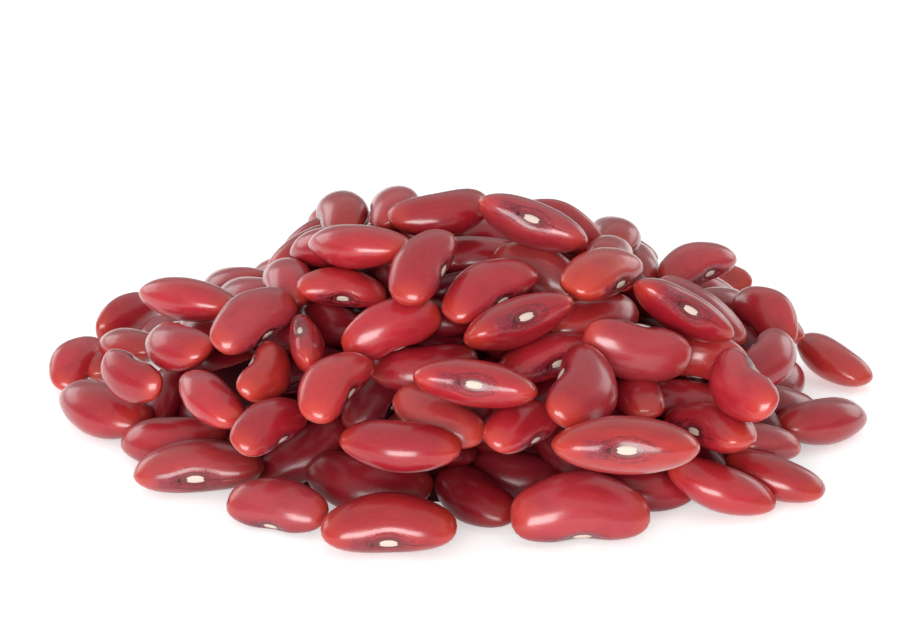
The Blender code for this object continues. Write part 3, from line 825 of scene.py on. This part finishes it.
def make_core():
    """A low lumpy mound, cut off level at the floor."""
    bpy.ops.object.select_all(action="DESELECT")
    bpy.ops.mesh.primitive_ico_sphere_add(subdivisions=CORE_DETAIL, radius=MM)
    core = bpy.context.active_object
    core.name = "heap_core"
    bpy.ops.object.mode_set(mode="EDIT")
    bpy.ops.mesh.select_all(action="SELECT")
    bpy.ops.transform.resize(value=CORE_RADII)
    bpy.ops.transform.vertex_random(offset=CORE_LUMPS * MM, seed=CORE_SEED)
    bpy.ops.mesh.vertices_smooth(factor=CORE_SMOOTHING, repeat=CORE_SMOOTH_ROUNDS)
    bpy.ops.transform.translate(value=[part * MM for part in CORE_MIDDLE])
    bpy.ops.mesh.select_all(action="SELECT")
    floor = (0.0, 0.0, FLOOR_GAP * MM)
    bpy.ops.mesh.bisect(plane_co=floor, plane_no=(0.0, 0.0, 1.0), use_fill=True, clear_inner=True)
    bpy.ops.mesh.select_all(action="SELECT")
    bpy.ops.mesh.normals_make_consistent(inside=False)
    bpy.ops.object.mode_set(mode="OBJECT")
    bpy.ops.object.shade_smooth_by_angle(angle=CORE_EDGE)
    return core


# Finishes

# Places of a Mix node's colour sockets
MIX_SHARE = 0
MIX_FIRST = 6
MIX_SECOND = 7
MIX_RESULT = 2


class Term:
    """A shader socket that adds its Math node when it is used in an expression."""

    def __init__(self, finish, socket):
        self.finish = finish
        self.socket = socket

    def math(self, operation, *values):
        return self.finish.node("ShaderNodeMath", {"operation": operation}, dict(enumerate(values)))

    def __add__(self, other):
        return self.math("ADD", self, other)

    def __radd__(self, other):
        return self.math("ADD", other, self)

    def __sub__(self, other):
        return self.math("SUBTRACT", self, other)

    def __rsub__(self, other):
        return self.math("SUBTRACT", other, self)

    def __mul__(self, other):
        return self.math("MULTIPLY", self, other)

    def __rmul__(self, other):
        return self.math("MULTIPLY", other, self)

    def __truediv__(self, other):
        return self.math("DIVIDE", self, other)

    def __pow__(self, other):
        return self.math("POWER", self, other)

    def root(self):
        return self.math("SQRT", self)

    def size(self):
        return self.math("ABSOLUTE", self)


class Finish:
    """A material in the making."""

    def __init__(self, name):
        self.material = bpy.data.materials.new(name)
        self.material.use_nodes = True
        self.tree = self.material.node_tree
        self.shader = self.tree.nodes["Principled BSDF"]

    def node(self, kind, settings=None, values=None, output=0):
        """Adds a node, sets it, feeds its sockets and gives back one of its outputs."""
        made = self.tree.nodes.new(kind)
        for key, value in (settings or {}).items():
            setattr(made, key, value)
        for key, value in (values or {}).items():
            self.feed(made.inputs[key], value)
        return Term(self, made.outputs[output])

    def feed(self, socket, value):
        """Links a socket, or sets it to a constant."""
        if isinstance(value, Term):
            self.tree.links.new(value.socket, socket)
        else:
            socket.default_value = value

    def set(self, **values):
        """Sets or links the main shader's own sockets."""
        for key, value in values.items():
            self.feed(self.shader.inputs[key.replace("_", " ")], value)

    def attribute(self, name):
        return self.node("ShaderNodeAttribute", {"attribute_name": name}, output="Vector")

    def parts(self, vector):
        """The three numbers of a vector."""
        split = self.node("ShaderNodeSeparateXYZ", {}, {0: vector})
        outputs = split.socket.node.outputs
        return [Term(self, outputs[axis]) for axis in range(3)]

    def stretch(self, vector, factors):
        return self.node("ShaderNodeVectorMath", {"operation": "MULTIPLY"}, {0: vector, 1: factors})

    def move(self, vector, offset):
        return self.node("ShaderNodeVectorMath", {"operation": "ADD"}, {0: vector, 1: offset})

    def noise(self, vector, scale=1.0, detail=2.0, roughness=0.5, distortion=0.0):
        """Noise from 0 to 1."""
        values = {"Vector": vector, "Scale": scale, "Detail": detail}
        values.update({"Roughness": roughness, "Distortion": distortion})
        return self.node("ShaderNodeTexNoise", {}, values, output="Fac")

    def step(self, value, low, high):
        """0 up to low, 1 from high, and a soft change between; low may be the larger one."""
        settings = {"interpolation_type": "SMOOTHSTEP", "clamp": True}
        values = {"Value": value, "From Min": low, "From Max": high, "To Min": 0.0, "To Max": 1.0}
        return self.node("ShaderNodeMapRange", settings, values, output="Result")

    def within(self, value, low, high):
        """1 up to low, 0 from high, and a soft change between; low may be the larger one."""
        return 1.0 - self.step(value, low, high)

    def oval_reach(self, along, across, length, width):
        """How far out a place lies from the middle of an oval: 1 on the oval itself."""
        return ((along / length) ** 2.0 + (across / width) ** 2.0).root()

    def blend(self, share, first, second):
        """A colour between two colours."""
        settings = {"data_type": "RGBA", "clamp_factor": True}
        values = {MIX_SHARE: share, MIX_FIRST: first, MIX_SECOND: second}
        return self.node("ShaderNodeMix", settings, values, output=MIX_RESULT)

    def bump(self, height, depth):
        return self.node("ShaderNodeBump", {}, {"Height": height, "Distance": depth, "Strength": 1.0})


CRIMSON = (0.40, 0.018, 0.028, 1.0)
BRICK = (0.48, 0.040, 0.020, 1.0)
DARK_CRIMSON = (0.25, 0.006, 0.014, 1.0)
DUSKY_RED = (0.27, 0.035, 0.045, 1.0)
# Deep red of the seam and the pit, and of the painted shade deep in the heap
DEEP_RED = (0.09, 0.002, 0.006, 1.0)
RING_BROWN = (0.080, 0.012, 0.018, 1.0)
WRINKLE_RED = (0.20, 0.008, 0.030, 1.0)
EYE_CREAM = (0.57, 0.45, 0.38, 1.0)
EYE_SHADE = (0.47, 0.33, 0.27, 1.0)
# Near-black red of the core: painted shade deep in the heap
CORE_SHADE_RED = (0.022, 0.001, 0.002, 1.0)
FLOOR_TONE = (0.90, 0.95, 0.95, 1.0)
WHITE = (1.0, 1.0, 1.0, 1.0)

# How far each bean's pattern is shifted by its tone and its warmth, and the patterns' scales
PATTERN_SHIFT = (17.0, 23.0, 0.0)
CLOUD_STRETCH = (4.0, 7.0, 7.0)
STREAK_STRETCH = (9.0, 40.0, 40.0)
CREASE_STRETCH = (30.0, 30.0, 55.0)
CREASE_TWIST = 1.2
WOBBLE_SCALE = 28.0
WAVE_SCALE = 6.0
GRAIN_SCALE = 60.0

# Tints over the crimson, in order: the sign that brings each, between which two values of it, how
# much of the tint there is at most, and its colour
Tint = namedtuple("Tint", "sign low high most colour")
TINTS = (
    Tint("warmth", 0.45, 1.0, 0.8, BRICK),
    Tint("tone", 0.35, 1.0, 0.75, DARK_CRIMSON),
    Tint("tone", 0.28, 0.08, 0.6, DUSKY_RED),
    Tint("cloud", 0.42, 0.72, 0.45, DARK_CRIMSON),
    Tint("streak", 0.5, 0.75, 0.22, BRICK),
    Tint("tip", 0.28, 0.48, 0.55, BRICK),
)

# The marks round the eye. Sizes and places are shares of the bean's length; an edge or a rim goes by
# the reach from the mark's middle. Each pair is where a mark starts to change and where it is done.
EYE_SIDE = (0.02, 0.10)
RING_SIZE = (0.125, 0.058)
RING_WOBBLE = 0.35
RING_EDGE = (0.72, 1.12)
RIM_RISE = (0.85, 1.1)
RIM_FALL = (1.25, 1.75)
PIT_PLACE = 0.118
PIT_SIZE = (0.020, 0.016)
PIT_EDGE = (0.5, 1.2)
SEAM_RISE = (0.10, 0.15)
SEAM_FALL = (0.24, 0.36)
SEAM_EDGE = (0.003, 0.011)
CREASE_RISE = (-0.10, -0.14)
CREASE_FALL = (-0.24, -0.33)
CREASE_EDGE = (0.03, 0.085)

# How much the painted shade of the heap and each mark tint the skin
SHADE_TINT = 0.9
RIM_TINT = 0.5
CREASE_TINT = 0.55
SEAM_TINT = 0.6
RING_TINT = 0.8
PIT_TINT = 0.9

# Heights of the skin's relief, as shares of its depth in millimetres
SKIN_RELIEF = 1.0
WAVE_HEIGHT = 0.10
GRAIN_HEIGHT = 0.012
CREASE_HEIGHT = 0.40
SEAM_DEPTH = 0.05
PIT_DEPTH = 0.12
RIM_CREASES = 0.35
RIM_HEIGHT = 0.08

# The skin's roughness, and its coat of gloss, which the painted shade of the heap dulls
SKIN_ROUGHNESS = 0.27
ROUGH_CLOUDS = (0.2, 0.8)
CLOUD_ROUGHNESS = 0.10
RING_ROUGHNESS = 0.12
SKIN_COAT = 0.8
SHADE_DULLS = 0.85

# The eye's specks and edge
SPECK_STRETCH = (60.0, 60.0, 90.0)
SPECKS = (0.5, 0.8)
SPECK_TINT = 0.35
SPECK_RELIEF = 0.05
EYE_EDGE = (0.75, 1.05)
EYE_EDGE_TINT = 0.7

# The core's clouds
CORE_CLOUD_SCALE = 160.0
CORE_CLOUDS = (0.3, 0.7)
CORE_CLOUD_TINT = 0.5
CORE_RELIEF = 0.5


def eye_marks(skin, place_parts, own_place):
    """Where a bean has the ring round its eye, the rim beyond it, the pit, the seam and creases."""
    along, to_eye, flat = place_parts
    on_eye_side = skin.step(to_eye, *EYE_SIDE)
    wobble = (skin.noise(own_place, WOBBLE_SCALE) - 0.5) * RING_WOBBLE
    reach = skin.oval_reach(along, flat, *RING_SIZE) + wobble
    ring = skin.within(reach, *RING_EDGE) * on_eye_side
    rim = skin.step(reach, *RIM_RISE) * skin.within(reach, *RIM_FALL) * on_eye_side
    pit_reach = skin.oval_reach(along + PIT_PLACE, flat, *PIT_SIZE)
    pit = skin.within(pit_reach, *PIT_EDGE) * on_eye_side
    seam_span = skin.step(along, *SEAM_RISE) * skin.within(along, *SEAM_FALL)
    seam = skin.within(flat.size(), *SEAM_EDGE) * seam_span * on_eye_side
    crease_span = skin.step(along, *CREASE_RISE) * skin.within(along, *CREASE_FALL)
    creased = crease_span * skin.within(flat.size(), *CREASE_EDGE) * on_eye_side
    return ring, rim, pit, seam, creased


def bean_skin():
    """Glossy dark-red skin: cloudy in tone, warmer at the tips, with a brown ring round the eye, and
    painted shade where it lies deep in the heap.
    """
    skin = Finish("bean_skin")
    place = skin.attribute("bean_place")
    mark = skin.attribute("bean_mark")
    place_parts = skin.parts(place)
    tone, warmth, shade = skin.parts(mark)
    own_place = skin.move(place, skin.stretch(mark, PATTERN_SHIFT))
    cloud = skin.noise(skin.stretch(own_place, CLOUD_STRETCH), detail=3.0, roughness=0.55)
    streak = skin.noise(skin.stretch(own_place, STREAK_STRETCH))
    crease = skin.noise(skin.stretch(own_place, CREASE_STRETCH), distortion=CREASE_TWIST)
    tip = place_parts[0].size()
    ring, rim, pit, seam, creased = eye_marks(skin, place_parts, own_place)

    signs = {"warmth": warmth, "tone": tone, "cloud": cloud, "streak": streak, "tip": tip}
    colour = CRIMSON
    for tint in TINTS:
        share = skin.step(signs[tint.sign], tint.low, tint.high) * tint.most
        colour = skin.blend(share, colour, tint.colour)
    # Painted shade: beans and points deep in the heap blend towards deep red
    colour = skin.blend(shade * SHADE_TINT, colour, DEEP_RED)
    colour = skin.blend(rim * crease * RIM_TINT, colour, WRINKLE_RED)
    colour = skin.blend(creased * CREASE_TINT, colour, WRINKLE_RED)
    colour = skin.blend(seam * SEAM_TINT, colour, DEEP_RED)
    colour = skin.blend(ring * RING_TINT, colour, RING_BROWN)
    colour = skin.blend(pit * PIT_TINT, colour, DEEP_RED)

    waves = skin.noise(own_place, WAVE_SCALE)
    grain = skin.noise(own_place, GRAIN_SCALE)
    height = waves * WAVE_HEIGHT + grain * GRAIN_HEIGHT + crease * creased * CREASE_HEIGHT
    height = height - seam * SEAM_DEPTH - pit * PIT_DEPTH
    height = height + rim * (crease * RIM_CREASES + RIM_HEIGHT)
    roughness = skin.step(cloud, *ROUGH_CLOUDS) * CLOUD_ROUGHNESS + SKIN_ROUGHNESS
    skin.set(
        Base_Color=colour,
        Roughness=roughness + ring * RING_ROUGHNESS,
        Normal=skin.bump(height, SKIN_RELIEF * MM),
        Coat_Weight=(1.0 - shade * SHADE_DULLS) * SKIN_COAT,
        Coat_Roughness=0.2,
        Coat_IOR=1.5,
        IOR=1.5,
        Specular_IOR_Level=0.25,
    )
    return skin.material


def eye_cream():
    """Dull cream of the eye, browner towards its edge and in specks."""
    eye = Finish("eye_cream")
    place = eye.attribute("bean_place")
    along, _, flat = eye.parts(place)
    reach = eye.oval_reach(along, flat, EYE_LENGTH, EYE_WIDTH)
    speck = eye.noise(eye.stretch(place, SPECK_STRETCH), detail=3.0, roughness=0.6)
    colour = eye.blend(eye.step(reach, *EYE_EDGE) * EYE_EDGE_TINT, EYE_CREAM, EYE_SHADE)
    colour = eye.blend(eye.step(speck, *SPECKS) * SPECK_TINT, colour, EYE_SHADE)
    eye.set(Base_Color=colour, Roughness=0.55, Normal=eye.bump(speck, SPECK_RELIEF * MM))
    return eye.material


def core_painted_shade():
    """Near-black red of the heap's depth, painted as the shade there."""
    dark = Finish("core_painted_shade")
    place = dark.node("ShaderNodeTexCoord", output="Object")
    cloud = dark.noise(place, CORE_CLOUD_SCALE)
    colour = dark.blend(dark.step(cloud, *CORE_CLOUDS) * CORE_CLOUD_TINT, CORE_SHADE_RED, DEEP_RED)
    dark.set(
        Base_Color=colour,
        Roughness=0.7,
        Normal=dark.bump(cloud, CORE_RELIEF * MM),
        Specular_IOR_Level=0.1,
    )
    return dark.material


def floor_white():
    """White of the floor, which glows a little so that it comes out as pale as the studio."""
    pale = Finish("floor_white")
    pale.set(Base_Color=FLOOR_TONE, Roughness=0.8, Specular_IOR_Level=0.1)
    pale.set(Emission_Color=WHITE, Emission_Strength=FLOOR_GLOW)
    return pale.material


# All the beans, and their eyes

def make_beans():
    """The beans of the heap's skin, fine and with eyes, and those inside it, plainer and without."""
    skin = lay_beans()
    inside = settle_inside(skin, place_inside())
    outer = len(skin[0])
    total = outer + len(inside[0])
    looks = bean_looks(total)
    skin_looks = some_looks(looks, 0, outer)
    inside_looks = some_looks(looks, outer, total)
    marks = np.random.default_rng(LOOK_SEED + 1).uniform(0.0, 1.0, (total, 3))
    # The third mark is each bean's painted shade for lying deep in the heap
    marks[:, 2] = bean_shades(outer, total)

    fine = skin_points(skin_looks, *bean_grid(SKIN_RINGS, SKIN_SIDES))
    plain = skin_points(inside_looks, *bean_grid(INSIDE_RINGS, INSIDE_SIDES))
    beans = mesh_piece("beans", [
        (to_place(fine, *skin), fine, bean_faces(SKIN_RINGS, SKIN_SIDES), marks[:outer]),
        (to_place(plain, *inside), plain, bean_faces(INSIDE_RINGS, INSIDE_SIDES), marks[outer:]),
    ])
    beans.data.materials.append(bean_skin())

    station, around, out, across = eye_grid()
    eyes = skin_points(skin_looks, station, around)
    dome = EYE_DOME * (1.0 - out ** 2) - EYE_GROOVE * np.exp(-(across / GROOVE_WIDTH) ** 2)
    eyes[..., 1] += np.where(out > 1.0, -EYE_SINK, dome)
    ovals = mesh_piece("bean_eyes", [(to_place(eyes, *skin), eyes, eye_faces(), marks[:outer])])
    ovals.data.materials.append(eye_cream())
    return beans, ovals


# The studio, in metres and watts

FLOOR_SIDE = 6.0
FLOOR_GLOW = 0.42
AIR_LIGHT = 0.34
OVER_SIDES = (1.4, 2.6, 4.6)
OVER_PLACE = (0.0, 0.2, 1.2)
OVER_AIM = (0.0, 0.2, 0.0)
OVER_LIGHT = 0.36
HEAP_MIDDLE = (0.0, 0.0, 0.015)
FRONT_PLACE = (-0.25, -1.15, 0.30)
FRONT_SIDES = (0.85, 0.50)
FRONT_POWER = 16.0
BACK_PLACES = ((-0.95, 0.85, 0.40), (0.95, 0.85, 0.40))
BACK_POWER = 2.5
UPRIGHT = np.array([0.0, 0.0, 1.0])
STRAIGHT_DOWN = 0.999
SENSOR_WIDTH = 36.0
NEAREST = 0.01
FURTHEST = 20.0


def add_object(name, data, axes, place):
    """A light or camera at a place, with its own axes along the given ones."""
    added = bpy.data.objects.new(name, data)
    bpy.context.scene.collection.objects.link(added)
    rows = [[*row, at] for row, at in zip(np.array(axes).T, place)]
    added.matrix_world = Matrix(rows + [[0.0, 0.0, 0.0, 1.0]])
    return added


def soft_light(name, place, aim, sides, power):
    """A rectangular soft light that faces a point."""
    lamp = bpy.data.lights.new(name, "AREA")
    lamp.shape = "RECTANGLE"
    lamp.size, lamp.size_y = sides
    lamp.energy = power
    back = unit(np.array(place) - np.array(aim))
    side = unit(np.cross(UPRIGHT, back)) if abs(back[2]) < STRAIGHT_DOWN else RIGHT
    add_object(name, lamp, (side, np.cross(back, side), back), place)


def set_studio():
    """A pale floor under soft light from above, with one more from the front and two from behind."""
    bpy.ops.object.select_all(action="DESELECT")
    bpy.ops.mesh.primitive_plane_add(size=FLOOR_SIDE)
    floor = bpy.context.active_object
    floor.name = "floor"
    floor.data.materials.append(floor_white())
    for side in OVER_SIDES:
        power = OVER_LIGHT * math.pi * side ** 2
        soft_light("over_light", OVER_PLACE, OVER_AIM, (side, side), power)
    soft_light("front_light", FRONT_PLACE, HEAP_MIDDLE, FRONT_SIDES, FRONT_POWER)
    for place in BACK_PLACES:
        soft_light("back_light", place, HEAP_MIDDLE, FRONT_SIDES, BACK_POWER)
    world = bpy.data.worlds.new("studio_air")
    world.use_nodes = True
    air = world.node_tree.nodes["Background"]
    air.inputs["Color"].default_value = WHITE
    air.inputs["Strength"].default_value = AIR_LIGHT
    bpy.context.scene.world = world


def set_camera():
    """The view that the near side's beans were measured in."""
    lens = bpy.data.cameras.new("view")
    lens.sensor_fit = "HORIZONTAL"
    lens.sensor_width = SENSOR_WIDTH
    lens.lens = PIXELS_PER_MM * EYE_DISTANCE * SENSOR_WIDTH / (2.0 * VIEW_CENTRE[0])
    lens.clip_start = NEAREST
    lens.clip_end = FURTHEST
    bpy.context.scene.camera = add_object("view", lens, (RIGHT, UP, BACK), EYE * MM)


beans, ovals = make_beans()
core = make_core()
core.data.materials.append(core_painted_shade())
for piece in (beans, ovals, core):
    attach(piece, "root")
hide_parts("bean_heap")
set_studio()
set_camera()
bpy.context.scene.view_settings.view_transform = "Standard"
